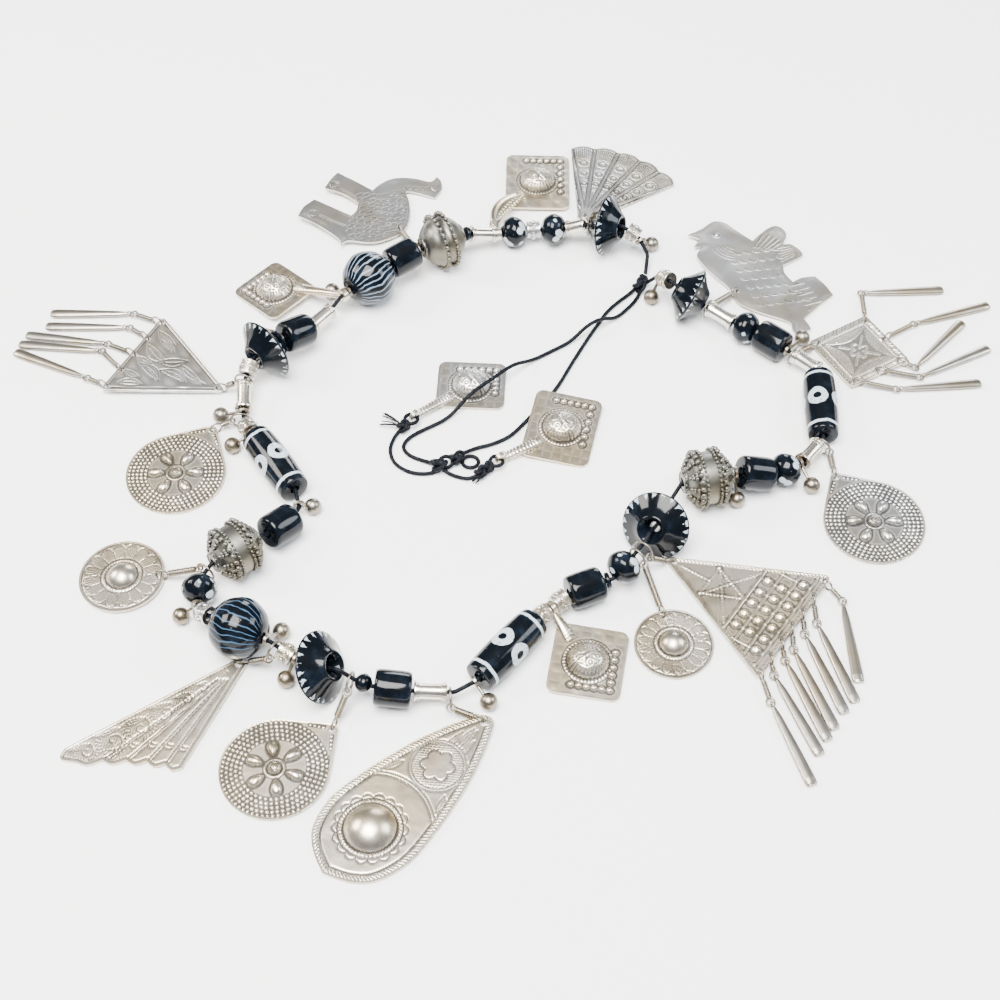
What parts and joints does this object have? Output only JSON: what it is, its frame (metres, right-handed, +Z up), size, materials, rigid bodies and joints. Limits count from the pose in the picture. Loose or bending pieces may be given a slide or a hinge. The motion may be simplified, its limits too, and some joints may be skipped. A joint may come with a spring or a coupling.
{
  "type": "amulet necklace",
  "caption": "Amulet necklace lying open: agate and silver beads on a waxed thread, hung with flat silver amulets and pendant rods, closed by a knot with two tied cord tails.",
  "frame": {"origin": "middle of the bounding box of the bead string and its amulets, on the table; the tied cord tails and the two amulets on them are left out", "axes": "+Z up from the table; +Y away from the front of the picture; +X to its right"},
  "size_m": [0.376, 0.3374, 0.0243],
  "materials": {
    "waxed_cord": "waxed, slightly shiny",
    "black_agate": "polished",
    "dotted_agate": "polished",
    "striped_agate": "polished",
    "eye_agate": "polished",
    "silver": "worn, unpolished silver"
  },
  "bodies": {
    "root": {"amulet_links": "silver", "amulet_rings": "silver", "ball_drops": "silver", "barrel_bead_1": "black_agate", "barrel_bead_2": "black_agate", "barrel_bead_3": "black_agate", "barrel_bead_4": "black_agate", "barrel_bead_5": "black_agate", "barrel_bead_6": "black_agate", "barrel_bead_7": "black_agate", "big_triangle": "silver", "big_triangle_rods": "silver", "bird": "silver", "centre_left_square": "silver", "centre_square": "silver", "closing_knot": "waxed_cord", "dotted_bead_1": "dotted_agate", "dotted_bead_2": "dotted_agate", "dotted_bead_3": "dotted_agate", "dotted_bead_4": "dotted_agate", "dotted_bead_5": "dotted_agate", "dotted_bead_6": "dotted_agate", "elephant": "silver", "eye_bead_1": "eye_agate", "eye_bead_2": "eye_agate", "eye_bead_3": "eye_agate", "fan": "silver", "flanged_bead_1": "silver", "front_pear": "silver", "front_square": "silver", "granulated_bead_1": "silver", "granulated_bead_2": "silver", "left_flower": "silver", "left_pear": "silver", "left_square": "silver", "left_triangle": "silver", "left_triangle_rods": "silver", "right_flower": "silver", "right_pear": "silver", "rim_bead_1": "black_agate", "rim_bead_2": "black_agate", "rim_bead_3": "black_agate", "rim_bead_4": "black_agate", "rim_bead_5": "black_agate", "rod_links": "silver", "silver_spacers": "silver", "silver_tubes": "silver", "small_black_beads": "black_agate", "square_plate": "silver", "square_plate_rods": "silver", "striped_bead_1": "striped_agate", "striped_bead_2": "striped_agate", "tail_lower": "waxed_cord", "tail_upper": "waxed_cord", "teardrop": "silver", "thread": "waxed_cord", "tie_knot": "waxed_cord", "top_square": "silver", "wing": "silver"}
  },
  "joints": []
}
